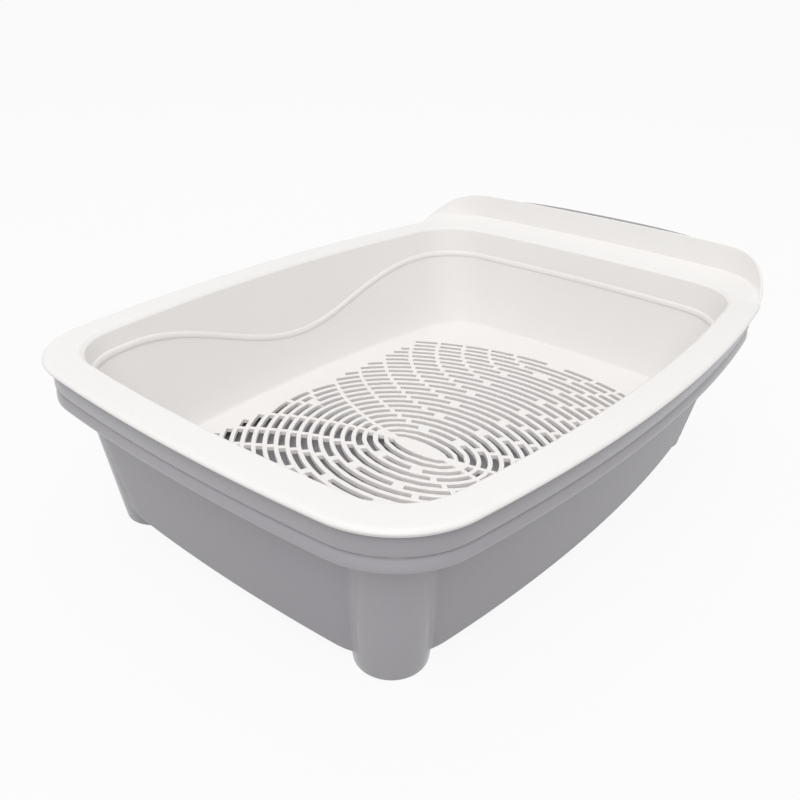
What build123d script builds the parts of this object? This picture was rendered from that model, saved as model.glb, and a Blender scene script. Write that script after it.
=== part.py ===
"""Sifting litter tray: two equal pans nested in each other and a slotted tray that lifts out of them."""
import math
import os

from build123d import *

# Frame: +X across the width, +Y along the length to the raised lip, +Z up; lengths in millimetres.
# The origin is on the ground under the middle of the whole stack.

# Bowed outlines: radii of the long gentle arcs of the sides and of the ends
side_arc_radius = 1170.0
end_arc_radius = 1390.0
cut_margin = 2.0

# Pan: floor, walls and rim; the wall's top is where its straight outer face would meet the rim
pan_floor_under = 12.0
pan_wall = 2.2
pan_foot_half_width = 153.0
pan_foot_half_length = 210.0
pan_foot_corner = 52.0
pan_edge_round = 5.0
pan_rim_top = 113.5
pan_side_flare = 19.1
pan_end_flare = 17.1
pan_corner_flare = 2.0
pan_roll_width = 4.0
pan_roll_height = 4.4
pan_roll_corner = 0.5
pan_rim_width = 12.9
pan_rim_corner_flare = 8.0
pan_flange = 2.2
pan_skirt_depth = 10.7
pan_skirt_wall = 2.2
pan_top_half_width = pan_foot_half_width + pan_side_flare
pan_top_half_length = pan_foot_half_length + pan_end_flare
pan_top_corner = pan_foot_corner + pan_corner_flare
pan_rim_half_width = pan_top_half_width + pan_rim_width
pan_rim_half_length = pan_top_half_length + pan_rim_width
pan_rim_corner = pan_top_corner + pan_rim_corner_flare

# Pan: hollow corner legs that lean outwards and widen upwards
leg_inset_x = 39.4
leg_front_inset = 31.2
leg_back_inset = 40.0
leg_x = pan_foot_half_width - leg_inset_x
leg_front_y = pan_foot_half_length - leg_front_inset
leg_back_y = pan_foot_half_length - leg_back_inset
leg_foot_radius = 22.6
leg_foot_chamfer = 1.5
leg_foot_floor = 2.4
leg_cup_wall = 2.4
leg_growth_share = 0.114
leg_lean_x_share = 0.03
leg_lean_y_share = 0.045

# Stacking: how far one pan stands above the next, and the gaps between the mouldings
stack_pitch = 15.5
seat_clearance = 0.3
lip_gap = 2.4
floor_side_gap = 7.4
floor_end_gap = 1.4
wall_side_gap = 2.1
wall_end_gap = 4.1
skirt_end_gap = 4.0

# Sifting tray: walls and rim; the tray follows the pan that it hangs in
tray_wall = 2.4
tray_floor_plate = 3.2
sieve_drop = 5.9
floor_corner_step = 10.0
wall_corner_step = 8.0
tray_roll_width = 6.0
tray_roll_height = 5.5
tray_roll_corner = 1.0
tray_under_roll_share = 0.8
tray_rim_overhang = 5.0
tray_flange = 2.5
tray_skirt_depth = 5.3
tray_skirt_wall = 2.2
tray_floor_half_width = pan_foot_half_width - pan_wall - floor_side_gap - tray_wall
tray_floor_half_length = pan_foot_half_length - pan_wall - floor_end_gap - tray_wall
tray_floor_corner = pan_foot_corner - floor_corner_step
tray_top_half_width = pan_top_half_width - pan_wall - wall_side_gap - tray_wall
tray_top_half_length = pan_top_half_length - pan_wall - wall_end_gap - tray_wall
tray_top_corner = pan_top_corner - wall_corner_step
tray_mouth_half_width = tray_top_half_width + tray_roll_width
tray_mouth_half_length = tray_top_half_length + tray_roll_width
tray_mouth_corner = tray_top_corner + tray_roll_corner
tray_rim_half_width = pan_rim_half_width + tray_rim_overhang
tray_rim_half_length = pan_rim_half_length + tray_rim_overhang
tray_rim_corner = pan_rim_corner + tray_rim_overhang
tray_rim_top = pan_rim_top + stack_pitch + seat_clearance + tray_flange
tray_floor_under = pan_floor_under + pan_wall + stack_pitch + sieve_drop
tray_floor_top = tray_floor_under + tray_floor_plate
tray_roll_low = tray_rim_top - tray_roll_height

# Wave bead: a low rib on the inside of the tray's walls, with one long dip on each side
bead_width = 4.6
bead_height = 1.2
bead_root = 0.6
bead_depth = 16.0
bead_side_sag = 41.0
bead_side_centre_y = 8.0
bead_side_reach = 168.0
bead_end_sag = 9.0
bead_turn_x = 122.0
bead_steps = 24

# Raised lips at the back end: the pan's lip stands just outside the tray's lip
lip_lean_share = 0.2
pan_lip_height = 30.0
pan_lip_wall = 2.2
pan_lip_setback = 22.0
tray_lip_height = 27.0
tray_lip_wall = 2.4
tray_lip_ramp = 7.0
tray_lip_setback = 45.0
lip_full_setback = 8.0
pan_lip_half_width = tray_rim_half_width + lip_gap + pan_lip_wall
pan_lip_half_length = tray_rim_half_length + lip_gap + pan_lip_wall
pan_lip_corner = tray_rim_corner + lip_gap + pan_lip_wall
pan_lip_start_y = tray_rim_half_length - pan_lip_setback
tray_lip_start_y = tray_rim_half_length - tray_lip_setback
lip_full_y = tray_rim_half_length - lip_full_setback
skirt_end_y = pan_lip_start_y - skirt_end_gap

# Sieve: slots follow ovals about one centre and stop at ribs that follow wide circles
sieve_side_border = 28.0
sieve_end_border = 45.0
sieve_corner = 24.0
oval_centre_x = 16.0
oval_centre_y = -32.0
oval_first_half_height = 10.7
oval_extra_half_width = 17.4
slot_pitch = 8.5
slot_width = 4.9
rib_circle_offset = 224.0
rib_spacing = 24.7
rib_width = 4.0
axis_rib_width = 6.0
shortest_slot = 6.0
plate_overlap = 1.6
sieve_half_width = tray_floor_half_width - sieve_side_border
sieve_half_length = tray_floor_half_length - sieve_end_border


def corner_points(half_width, half_length, corner):
    """Tangent points and middle of the corner arc between a bowed side and a bowed end."""
    side_x = half_width - side_arc_radius
    end_y = half_length - end_arc_radius
    side_reach = side_arc_radius - corner
    end_reach = end_arc_radius - corner
    apart = math.hypot(side_x, end_y)
    along = (side_reach**2 - end_reach**2 + apart**2) / (2 * apart)
    across = math.sqrt(side_reach**2 - along**2)
    unit_x = -side_x / apart
    unit_y = end_y / apart
    centre_x = side_x + unit_x * along - unit_y * across
    centre_y = unit_y * along + unit_x * across
    side_len = math.hypot(centre_x - side_x, centre_y)
    end_len = math.hypot(centre_x, centre_y - end_y)
    on_side = (
        side_x + (centre_x - side_x) / side_len * side_arc_radius,
        centre_y / side_len * side_arc_radius,
    )
    on_end = (
        centre_x / end_len * end_arc_radius,
        end_y + (centre_y - end_y) / end_len * end_arc_radius,
    )
    mid_x = (on_side[0] + on_end[0]) / 2 - centre_x
    mid_y = (on_side[1] + on_end[1]) / 2 - centre_y
    mid_len = math.hypot(mid_x, mid_y)
    middle = (centre_x + mid_x / mid_len * corner, centre_y + mid_y / mid_len * corner)
    return on_side, middle, on_end


def outline(half_width, half_length, corner):
    """Face of a rounded rectangle with bowed sides, centred on the origin."""
    on_side, middle, on_end = corner_points(half_width, half_length, corner)

    def at(point, sign_x, sign_y):
        return (point[0] * sign_x, point[1] * sign_y)

    with BuildSketch(mode=Mode.PRIVATE) as face:
        with BuildLine():
            ThreePointArc(at(on_side, 1, -1), (half_width, 0), at(on_side, 1, 1))
            ThreePointArc(at(on_side, 1, 1), at(middle, 1, 1), at(on_end, 1, 1))
            ThreePointArc(at(on_end, 1, 1), (0, half_length), at(on_end, -1, 1))
            ThreePointArc(at(on_end, -1, 1), at(middle, -1, 1), at(on_side, -1, 1))
            ThreePointArc(at(on_side, -1, 1), (-half_width, 0), at(on_side, -1, -1))
            ThreePointArc(at(on_side, -1, -1), at(middle, -1, -1), at(on_end, -1, -1))
            ThreePointArc(at(on_end, -1, -1), (0, -half_length), at(on_end, 1, -1))
            ThreePointArc(at(on_end, 1, -1), at(middle, 1, -1), at(on_side, 1, -1))
        make_face()
    return face.sketch


def rising_plane(start_y, full_y, base_z, height):
    """Sloping plane that passes the rim at start_y and reaches the lip's full height at full_y."""
    run = full_y - start_y
    slope_len = math.hypot(run, height)
    return Plane(
        origin=(0, start_y, base_z),
        x_dir=(1, 0, 0),
        z_dir=(0, -height / slope_len, run / slope_len),
    )


# Pan lip: a thin wall that leans outwards round the back end and fades out round the two corners
lip_growth = pan_lip_height * lip_lean_share
with BuildPart() as pan_lip:
    with BuildSketch(Plane.XY.offset(pan_rim_top - pan_flange)):
        add(outline(pan_lip_half_width, pan_lip_half_length, pan_lip_corner))
    with BuildSketch(Plane.XY.offset(pan_rim_top + pan_lip_height)):
        add(
            outline(
                pan_lip_half_width + lip_growth,
                pan_lip_half_length + lip_growth,
                pan_lip_corner + lip_growth,
            )
        )
    loft(ruled=True)
    with BuildSketch(Plane.XY.offset(pan_rim_top)):
        add(
            outline(
                pan_lip_half_width - pan_lip_wall,
                pan_lip_half_length - pan_lip_wall,
                pan_lip_corner - pan_lip_wall,
            )
        )
    with BuildSketch(Plane.XY.offset(pan_rim_top + pan_lip_height)):
        add(
            outline(
                pan_lip_half_width - pan_lip_wall + lip_growth,
                pan_lip_half_length - pan_lip_wall + lip_growth,
                pan_lip_corner - pan_lip_wall + lip_growth,
            )
        )
    loft(ruled=True, mode=Mode.SUBTRACT)
    split(bisect_by=Plane.XZ.offset(-pan_lip_start_y), keep=Keep.BOTTOM)
    split(
        bisect_by=rising_plane(pan_lip_start_y, lip_full_y, pan_rim_top, pan_lip_height),
        keep=Keep.BOTTOM,
    )

# Legs: four round columns that lean outwards and widen upwards
leg_top = pan_rim_top - pan_flange
leg_feet = [(leg_x, leg_back_y), (-leg_x, leg_back_y), (leg_x, -leg_front_y), (-leg_x, -leg_front_y)]


def leg_axis(foot, height):
    """Where the middle of a leg lies at a height above its foot."""
    return (
        foot[0] + math.copysign(leg_lean_x_share, foot[0]) * height,
        foot[1] + math.copysign(leg_lean_y_share, foot[1]) * height,
    )


def leg_radius(height):
    """Radius of a leg at a height above its foot."""
    return leg_foot_radius + leg_growth_share * height


with BuildPart() as legs:
    for foot in leg_feet:
        with BuildSketch():
            with Locations(foot):
                Circle(leg_foot_radius - leg_foot_chamfer)
        for height in (leg_foot_chamfer, leg_top):
            with BuildSketch(Plane.XY.offset(height)):
                with Locations(leg_axis(foot, height)):
                    Circle(leg_radius(height))
        loft(ruled=True)

# Leg pits: room above the floor for the legs of the next pan, and a cup below it in each leg
pan_floor_top = pan_floor_under + pan_wall
pit_top = pan_rim_top + cut_margin
with BuildPart() as leg_pits:
    for foot in leg_feet:
        for height in (pan_floor_top, pit_top):
            with BuildSketch(Plane.XY.offset(height)):
                with Locations(leg_axis(foot, height - stack_pitch)):
                    Circle(leg_radius(height - stack_pitch) + seat_clearance)
        loft(ruled=True)
        for height in (leg_foot_floor, pan_floor_top + cut_margin):
            with BuildSketch(Plane.XY.offset(height)):
                with Locations(leg_axis(foot, height)):
                    Circle(leg_radius(height) - leg_cup_wall)
        loft(ruled=True)

# Pan: floor, steep drafted walls that roll out into the rim, and the legs
wall_foot = pan_floor_under + pan_edge_round
roll_low = pan_rim_top - pan_roll_height


def wall_size(height, inset):
    """Half width, half length and corner of the pan's wall at a height, moved in by the inset."""
    share = (height - wall_foot) / (pan_rim_top - wall_foot)
    return (
        pan_foot_half_width + pan_side_flare * share - inset,
        pan_foot_half_length + pan_end_flare * share - inset,
        pan_foot_corner + pan_corner_flare * share - inset,
    )


def rolled(size, width, corner):
    """Outline size of a rolled mouth: the wall's size made wider, longer and rounder."""
    return (size[0] + width, size[1] + width, size[2] + corner)


with BuildPart() as pan:
    with BuildSketch(Plane.XY.offset(pan_floor_under)):
        add(outline(*wall_size(wall_foot, pan_edge_round)))
    with BuildSketch(Plane.XY.offset(wall_foot)):
        add(outline(*wall_size(wall_foot, 0)))
    with BuildSketch(Plane.XY.offset(roll_low - pan_flange)):
        add(outline(*wall_size(roll_low - pan_flange, 0)))
    with BuildSketch(Plane.XY.offset(pan_rim_top - pan_flange)):
        add(outline(*rolled(wall_size(roll_low, 0), pan_roll_width, pan_roll_corner)))
    with BuildSketch(Plane.XY.offset(pan_rim_top)):
        add(outline(*rolled(wall_size(pan_rim_top, 0), pan_roll_width, pan_roll_corner)))
    loft(ruled=True)
    add(legs.part)
    # Flat rim and the skirt that hangs from its edge, open at the back end
    with BuildSketch(Plane.XY.offset(pan_rim_top)):
        add(outline(pan_rim_half_width, pan_rim_half_length, pan_rim_corner))
    extrude(amount=-pan_flange)
    skirt_front = pan_rim_half_length + cut_margin
    with BuildSketch(Plane.XY.offset(pan_rim_top)):
        add(outline(pan_rim_half_width, pan_rim_half_length, pan_rim_corner))
        add(
            outline(
                pan_rim_half_width - pan_skirt_wall,
                pan_rim_half_length - pan_skirt_wall,
                pan_rim_corner - pan_skirt_wall,
            ),
            mode=Mode.SUBTRACT,
        )
        with Locations((0, (skirt_end_y - skirt_front) / 2)):
            Rectangle(
                2 * pan_rim_half_width + cut_margin,
                skirt_end_y + skirt_front,
                mode=Mode.INTERSECT,
            )
    extrude(amount=-pan_skirt_depth)
    # Shelf of the rim under the lip
    shelf_back = pan_lip_half_length + cut_margin
    with BuildSketch(Plane.XY.offset(pan_rim_top)):
        add(outline(pan_lip_half_width, pan_lip_half_length, pan_lip_corner))
        with Locations((0, (pan_lip_start_y + shelf_back) / 2)):
            Rectangle(
                2 * pan_lip_half_width + cut_margin,
                shelf_back - pan_lip_start_y,
                mode=Mode.INTERSECT,
            )
    extrude(amount=-pan_flange)
    add(pan_lip.part)
    # Inside of the pan and of its legs
    with BuildSketch(Plane.XY.offset(pan_floor_top)):
        add(outline(*wall_size(wall_foot, pan_wall + pan_edge_round)))
    with BuildSketch(Plane.XY.offset(wall_foot + pan_wall)):
        add(outline(*wall_size(wall_foot + pan_wall, pan_wall)))
    with BuildSketch(Plane.XY.offset(roll_low)):
        add(outline(*wall_size(roll_low, pan_wall)))
    with BuildSketch(Plane.XY.offset(pan_rim_top)):
        add(outline(*rolled(wall_size(roll_low, pan_wall), pan_roll_width, pan_roll_corner)))
    with BuildSketch(Plane.XY.offset(pan_rim_top + cut_margin)):
        add(outline(*rolled(wall_size(roll_low, pan_wall), pan_roll_width, pan_roll_corner)))
    loft(ruled=True, mode=Mode.SUBTRACT)
    add(leg_pits.part, mode=Mode.SUBTRACT)

# Base pan: the pan that stands on the ground; the lip's overhang sets where the rim's centre lies
lip_overhang = pan_lip_half_length + lip_growth - tray_rim_half_length
rim_centre_y = -lip_overhang / 2
with BuildPart() as base_pan:
    with Locations((0, rim_centre_y, 0)):
        add(pan.part)

# Middle pan: an equal moulding, nested in the base pan
with BuildPart() as middle_pan:
    with Locations((0, rim_centre_y, stack_pitch)):
        add(pan.part)


def oval_point(half_height, turn):
    """Point of the oval with this half height at the given turn."""
    return (
        oval_centre_x + (half_height + oval_extra_half_width) * math.cos(turn),
        oval_centre_y + half_height * math.sin(turn),
    )


def between_ribs(x, y):
    """True where a slot may run: clear of the cross ribs and inside the sieve field."""
    rise = abs(y - oval_centre_y)
    if rise < axis_rib_width / 2:
        return False
    reach = math.hypot(x - oval_centre_x, rib_circle_offset - rise)
    step = (reach - rib_circle_offset) / rib_spacing
    if abs(step - round(step)) * rib_spacing < rib_width / 2:
        return False
    gap_x = max(0.0, abs(x) - (sieve_half_width - sieve_corner))
    gap_y = max(0.0, abs(y) - (sieve_half_length - sieve_corner))
    return math.hypot(gap_x, gap_y) < sieve_corner


oval_count = math.ceil((sieve_half_length - oval_centre_y) / slot_pitch)
turn_steps = 1440


def slot_runs(half_height):
    """Start and end turns of the slots on one oval."""
    clear = []
    for step in range(turn_steps):
        clear.append(between_ribs(*oval_point(half_height, 2 * math.pi * step / turn_steps)))
    if all(clear):
        return []
    first = clear.index(False)
    runs = []
    begin = None
    for step in range(first, first + turn_steps + 1):
        if clear[step % turn_steps] and begin is None:
            begin = step
        if not clear[step % turn_steps] and begin is not None:
            runs.append((2 * math.pi * begin / turn_steps, 2 * math.pi * (step - 1) / turn_steps))
            begin = None
    return runs


def slot_wire(half_height, begin, end):
    """Closed outline of one slot along its oval."""
    outer = half_height + slot_width / 2
    inner = half_height - slot_width / 2
    middle = (begin + end) / 2
    with BuildLine(mode=Mode.PRIVATE) as edge:
        ThreePointArc(oval_point(outer, begin), oval_point(outer, middle), oval_point(outer, end))
        Line(oval_point(outer, end), oval_point(inner, end))
        ThreePointArc(oval_point(inner, end), oval_point(inner, middle), oval_point(inner, begin))
        Line(oval_point(inner, begin), oval_point(outer, begin))
    return edge.wire()


slot_wires = []
for oval in range(oval_count):
    oval_half_height = oval_first_half_height + oval * slot_pitch
    for begin, end in slot_runs(oval_half_height):
        start = oval_point(oval_half_height, begin)
        stop = oval_point(oval_half_height, end)
        if math.dist(start, stop) > shortest_slot:
            slot_wires.append(slot_wire(oval_half_height, begin, end))

# Tray lip: a ramp from the rim's inner edge up to a thin leaning wall, faded out round the corners
tray_lip_growth = tray_lip_height * lip_lean_share
tray_wall_growth = (tray_lip_height - tray_lip_ramp) * lip_lean_share
with BuildPart() as tray_lip:
    with BuildSketch(Plane.XY.offset(tray_rim_top - tray_flange)):
        add(outline(tray_rim_half_width, tray_rim_half_length, tray_rim_corner))
    with BuildSketch(Plane.XY.offset(tray_rim_top + tray_lip_height)):
        add(
            outline(
                tray_rim_half_width + tray_lip_growth,
                tray_rim_half_length + tray_lip_growth,
                tray_rim_corner + tray_lip_growth,
            )
        )
    loft(ruled=True)
    lip_foot_half_width = tray_rim_half_width - tray_lip_wall + tray_lip_ramp * lip_lean_share
    lip_foot_half_length = tray_rim_half_length - tray_lip_wall + tray_lip_ramp * lip_lean_share
    lip_foot_corner = tray_rim_corner - tray_lip_wall + tray_lip_ramp * lip_lean_share
    with BuildSketch(Plane.XY.offset(tray_rim_top - tray_flange)):
        add(outline(tray_mouth_half_width, tray_mouth_half_length, tray_mouth_corner))
    with BuildSketch(Plane.XY.offset(tray_rim_top)):
        add(outline(tray_mouth_half_width, tray_mouth_half_length, tray_mouth_corner))
    with BuildSketch(Plane.XY.offset(tray_rim_top + tray_lip_ramp)):
        add(outline(lip_foot_half_width, lip_foot_half_length, lip_foot_corner))
    with BuildSketch(Plane.XY.offset(tray_rim_top + tray_lip_height)):
        add(
            outline(
                lip_foot_half_width + tray_wall_growth,
                lip_foot_half_length + tray_wall_growth,
                lip_foot_corner + tray_wall_growth,
            )
        )
    loft(ruled=True, mode=Mode.SUBTRACT)
    split(bisect_by=Plane.XZ.offset(-tray_lip_start_y), keep=Keep.BOTTOM)
    split(
        bisect_by=rising_plane(tray_lip_start_y, lip_full_y, tray_rim_top, tray_lip_height),
        keep=Keep.BOTTOM,
    )

# Wave bead: bands that follow the wave, cut out of a thin skin on the inside of the tray's walls
tray_wall_rise = tray_roll_low - tray_floor_top


def inner_wall_size(height, inset):
    """Half width, half length and corner of the tray's inner face at a height, moved in by the inset."""
    share = (height - tray_floor_top) / tray_wall_rise
    return (
        tray_floor_half_width + (tray_top_half_width - tray_floor_half_width) * share - inset,
        tray_floor_half_length + (tray_top_half_length - tray_floor_half_length) * share - inset,
        tray_floor_corner + (tray_top_corner - tray_floor_corner) * share - inset,
    )


def sag(distance, reach, depth):
    """Smooth dip: full depth in the middle and none from the reach outwards."""
    if abs(distance) >= reach:
        return 0.0
    return depth * math.cos(math.pi / 2 * distance / reach) ** 2


def side_wave(y):
    """Height of the bead's middle along a side."""
    return tray_rim_top - bead_depth - sag(y - bead_side_centre_y, bead_side_reach, bead_side_sag)


def end_wave(x):
    """Height of the bead's middle along an end."""
    return tray_rim_top - bead_depth - sag(x, bead_turn_x, bead_end_sag)


def wave_band(wave, reach):
    """Face between the upper and the lower edge of the bead, drawn along and up."""
    points = [reach * (2 * step / bead_steps - 1) for step in range(bead_steps + 1)]
    with BuildSketch(mode=Mode.PRIVATE) as band:
        with BuildLine():
            Spline(*[(along, wave(along) - bead_width / 2) for along in points])
            Line((reach, wave(reach) - bead_width / 2), (reach, wave(reach) + bead_width / 2))
            Spline(*[(along, wave(along) + bead_width / 2) for along in points])
            Line((-reach, wave(-reach) - bead_width / 2), (-reach, wave(-reach) + bead_width / 2))
        make_face()
    return band.sketch


with BuildPart() as bead_bands:
    with BuildSketch(Plane.YZ.offset(bead_turn_x)):
        add(wave_band(side_wave, tray_rim_half_length))
    extrude(amount=tray_rim_half_width - bead_turn_x)
    with BuildSketch(Plane.YZ.offset(-bead_turn_x)):
        add(wave_band(side_wave, tray_rim_half_length))
    extrude(amount=bead_turn_x - tray_rim_half_width)
    with BuildSketch(Plane.XZ):
        add(wave_band(end_wave, bead_turn_x))
    extrude(amount=tray_rim_half_length, both=True)

with BuildPart() as wave_bead:
    for height in (tray_floor_top, tray_roll_low):
        with BuildSketch(Plane.XY.offset(height)):
            add(outline(*inner_wall_size(height, -bead_root)))
    loft(ruled=True)
    for height in (tray_floor_top, tray_roll_low):
        with BuildSketch(Plane.XY.offset(height)):
            add(outline(*inner_wall_size(height, bead_height)))
    loft(ruled=True, mode=Mode.SUBTRACT)
    add(bead_bands.part, mode=Mode.INTERSECT)

# Slotted tray: drafted walls, a slotted floor and a flat rim that rests on the middle pan's rim
tray_wall_top = inner_wall_size(tray_roll_low, -tray_wall)
tray_under_roll = tray_under_roll_share * tray_roll_width
tray_under_corner = tray_under_roll_share * tray_roll_corner
with BuildPart() as slotted_tray:
    with BuildSketch(Plane.XY.offset(tray_floor_under)):
        add(outline(*inner_wall_size(tray_floor_top, -tray_wall)))
    with BuildSketch(Plane.XY.offset(tray_roll_low - tray_flange / 2)):
        add(outline(*tray_wall_top))
    with BuildSketch(Plane.XY.offset(tray_rim_top - tray_flange)):
        add(outline(*rolled(tray_wall_top, tray_under_roll, tray_under_corner)))
    with BuildSketch(Plane.XY.offset(tray_rim_top)):
        add(outline(*rolled(tray_wall_top, tray_under_roll, tray_under_corner)))
    loft(ruled=True)
    with BuildSketch(Plane.XY.offset(tray_rim_top)):
        add(outline(tray_rim_half_width, tray_rim_half_length, tray_rim_corner))
    extrude(amount=-tray_flange)
    tray_skirt_front = tray_rim_half_length + cut_margin
    with BuildSketch(Plane.XY.offset(tray_rim_top)):
        add(outline(tray_rim_half_width, tray_rim_half_length, tray_rim_corner))
        add(
            outline(
                tray_rim_half_width - tray_skirt_wall,
                tray_rim_half_length - tray_skirt_wall,
                tray_rim_corner - tray_skirt_wall,
            ),
            mode=Mode.SUBTRACT,
        )
        with Locations((0, (skirt_end_y - tray_skirt_front) / 2)):
            Rectangle(
                2 * tray_rim_half_width + cut_margin,
                skirt_end_y + tray_skirt_front,
                mode=Mode.INTERSECT,
            )
    extrude(amount=-tray_skirt_depth)
    add(tray_lip.part)
    with BuildSketch(Plane.XY.offset(tray_floor_under)):
        add(outline(tray_floor_half_width, tray_floor_half_length, tray_floor_corner))
    with BuildSketch(Plane.XY.offset(tray_floor_top)):
        add(outline(tray_floor_half_width, tray_floor_half_length, tray_floor_corner))
    with BuildSketch(Plane.XY.offset(tray_roll_low)):
        add(outline(tray_top_half_width, tray_top_half_length, tray_top_corner))
    with BuildSketch(Plane.XY.offset(tray_rim_top)):
        add(outline(tray_mouth_half_width, tray_mouth_half_length, tray_mouth_corner))
    loft(ruled=True, mode=Mode.SUBTRACT)
    add(wave_bead.part)
    plate_edge = outline(
        tray_floor_half_width + plate_overlap,
        tray_floor_half_length + plate_overlap,
        tray_floor_corner + plate_overlap,
    )
    with BuildSketch(Plane.XY.offset(tray_floor_under)):
        add(Face(plate_edge.face().outer_wire(), slot_wires))
    extrude(amount=tray_floor_plate)

# Sifting tray: the slotted tray, hung in the middle pan
with BuildPart() as sifting_tray:
    with Locations((0, rim_centre_y, 0)):
        add(slotted_tray.part)

base_pan.part.label = "base_pan"
middle_pan.part.label = "middle_pan"
sifting_tray.part.label = "sifting_tray"
os.makedirs("parts", exist_ok=True)
export_step(base_pan.part, "parts/base_pan.step")
export_step(middle_pan.part, "parts/middle_pan.step")
export_step(sifting_tray.part, "parts/sifting_tray.step")
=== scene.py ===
"""Sifting litter tray: two grey pans nested in each other and a white slotted tray that hangs in them."""

import bmesh
import bpy
import numpy as np
from mathutils import Matrix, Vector
from mathutils.geometry import tessellate_polygon


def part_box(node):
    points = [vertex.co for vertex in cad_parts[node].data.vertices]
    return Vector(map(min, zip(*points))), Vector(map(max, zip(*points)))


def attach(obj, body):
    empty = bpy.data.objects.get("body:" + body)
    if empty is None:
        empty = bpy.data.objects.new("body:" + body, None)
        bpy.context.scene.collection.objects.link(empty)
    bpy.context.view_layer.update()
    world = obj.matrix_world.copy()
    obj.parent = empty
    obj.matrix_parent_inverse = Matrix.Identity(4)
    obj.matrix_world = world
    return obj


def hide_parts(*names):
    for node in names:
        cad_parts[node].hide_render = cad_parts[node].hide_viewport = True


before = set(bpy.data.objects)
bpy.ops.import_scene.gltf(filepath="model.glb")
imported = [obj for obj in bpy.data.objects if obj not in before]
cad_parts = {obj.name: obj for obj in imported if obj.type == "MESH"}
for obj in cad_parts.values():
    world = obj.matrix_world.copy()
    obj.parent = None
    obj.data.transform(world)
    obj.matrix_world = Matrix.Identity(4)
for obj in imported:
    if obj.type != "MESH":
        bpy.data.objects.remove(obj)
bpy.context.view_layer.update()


# Base pan: the grey pan that stands on the ground, one injection moulding in polypropylene.
# Steep drafted walls run up between four hollow leg columns to a rolled rim with a hanging skirt,
# and a thin lip stands up across the back end. Nothing is fixed to it: the next pan just sinks in.
mm = 0.001
base_low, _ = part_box("base_pan")
pan_rim = (185.0, 240.0, 60.0)
rim_centre_y = base_low.y / mm + pan_rim[1]
side_bow = 1170.0
end_bow = 1390.0
pan_floor_under = 12.0
pan_wall = 2.2
pan_edge_round = 5.0
pan_foot = (153.0, 210.0, 52.0)
pan_flare = (19.1, 17.1, 2.0)
pan_rim_top = 113.5
pan_flange = 2.2
pan_roll_width = 4.0
pan_roll_height = 4.4
pan_roll_corner_share = 0.1
pan_flat_start = 8.0
pan_shoulder = (6.0, 8.0)
pan_skirt_depth = 10.7
pan_skirt_edge = (0.5, 0.7)
pan_skirt_root = 4.0
pan_lip_height = 30.0
pan_lip_gap = 7.4
pan_lip_start = 223.0
pan_top_blend = (-7.0, 4.0)
pan_skirt_blend = (1.0, 12.0)
pan_lip_rise = (-2.0, 3.0)
pan_lip_fillet = ((-4.0, 0.0), (-0.8, 0.03), (0.0, 0.1))
pan_lip_inside = 2.0
lip_lower_edge = (1.0, 0.4)
lip_lean = 0.2
lip_full = 237.0
leg_x = 113.6
leg_front_y = 178.8
leg_back_y = 170.0
leg_lean = (0.03, 0.045)
leg_radius = 22.6
leg_growth = 0.114
leg_joint = 2.6
leg_least_run = 14.0
leg_groove = 0.5
leg_groove_fade = 9.0
leg_foot_round = 1.6
leg_foot_start = 7.0
leg_floor = 2.4
leg_cup_wall = 2.4
leg_cup_start = 8.0
stack_pitch = 15.5
seat_clearance = 0.3
# Legs and rim share one mask: there the gloss is higher, and a painted highlight makes the grey paler.
polish_and_highlight_fade = (2.0, 0.4)
polish_and_highlight_below_skirt = 0.2
pan_colour = (0.325, 0.312, 0.336)
pan_pale_colour = (0.345, 0.332, 0.356)
# Paler grey of the legs and rim: a painted highlight that lightens them against the walls.
pan_painted_highlight_colour = (0.385, 0.372, 0.395)
satin_roughness = 0.4
polished_roughness = 0.22
side_points, corner_points, end_points = 160, 320, 120
side_steps, leg_steps, end_steps, inner_leg_steps = 40, 26, 24, 30
leg_joints = [side_steps, side_steps + leg_steps + 1]
inner_wall_rows, outer_wall_rows = 20, 24
quarter_turn = np.radians([0, 18, 36, 54, 72, 90])


def bowed_quarter(half_width, half_length, corner):
    """Points, outward normals and running length of a quarter of a rounded rectangle with bowed sides:
    three arcs, side, corner and end, each its centre plus its radius times (cos, sin) of an even run of
    angles. The corner's centre lies one corner radius inside both long arcs."""
    side_x = half_width - side_bow
    end_y = half_length - end_bow
    apart = np.hypot(side_x, end_y)
    along = ((side_bow - corner) ** 2 - (end_bow - corner) ** 2 + apart**2) / (2 * apart)
    across = np.sqrt((side_bow - corner) ** 2 - along**2)
    corner_x = side_x - (side_x * along + end_y * across) / apart
    corner_y = (end_y * along - side_x * across) / apart
    side_turn = np.arctan2(corner_y, corner_x - side_x)
    end_turn = np.arctan2(corner_y - end_y, corner_x)
    arcs = (
        (side_x, 0.0, side_bow, np.linspace(0, side_turn, side_points)),
        (corner_x, corner_y, corner, np.linspace(side_turn, end_turn, corner_points)[1:]),
        (0.0, end_y, end_bow, np.linspace(end_turn, np.pi / 2, end_points)[1:]),
    )
    turn = np.concatenate([angles for _, _, _, angles in arcs])
    x = np.concatenate([cx + radius * np.cos(angles) for cx, _, radius, angles in arcs])
    y = np.concatenate([cy + radius * np.sin(angles) for _, cy, radius, angles in arcs])
    points = np.stack([x, y], axis=1)
    run = np.concatenate([[0], np.cumsum(np.linalg.norm(np.diff(points, axis=0), axis=1))])
    return points, np.stack([np.cos(turn), np.sin(turn)], axis=1), run


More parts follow.
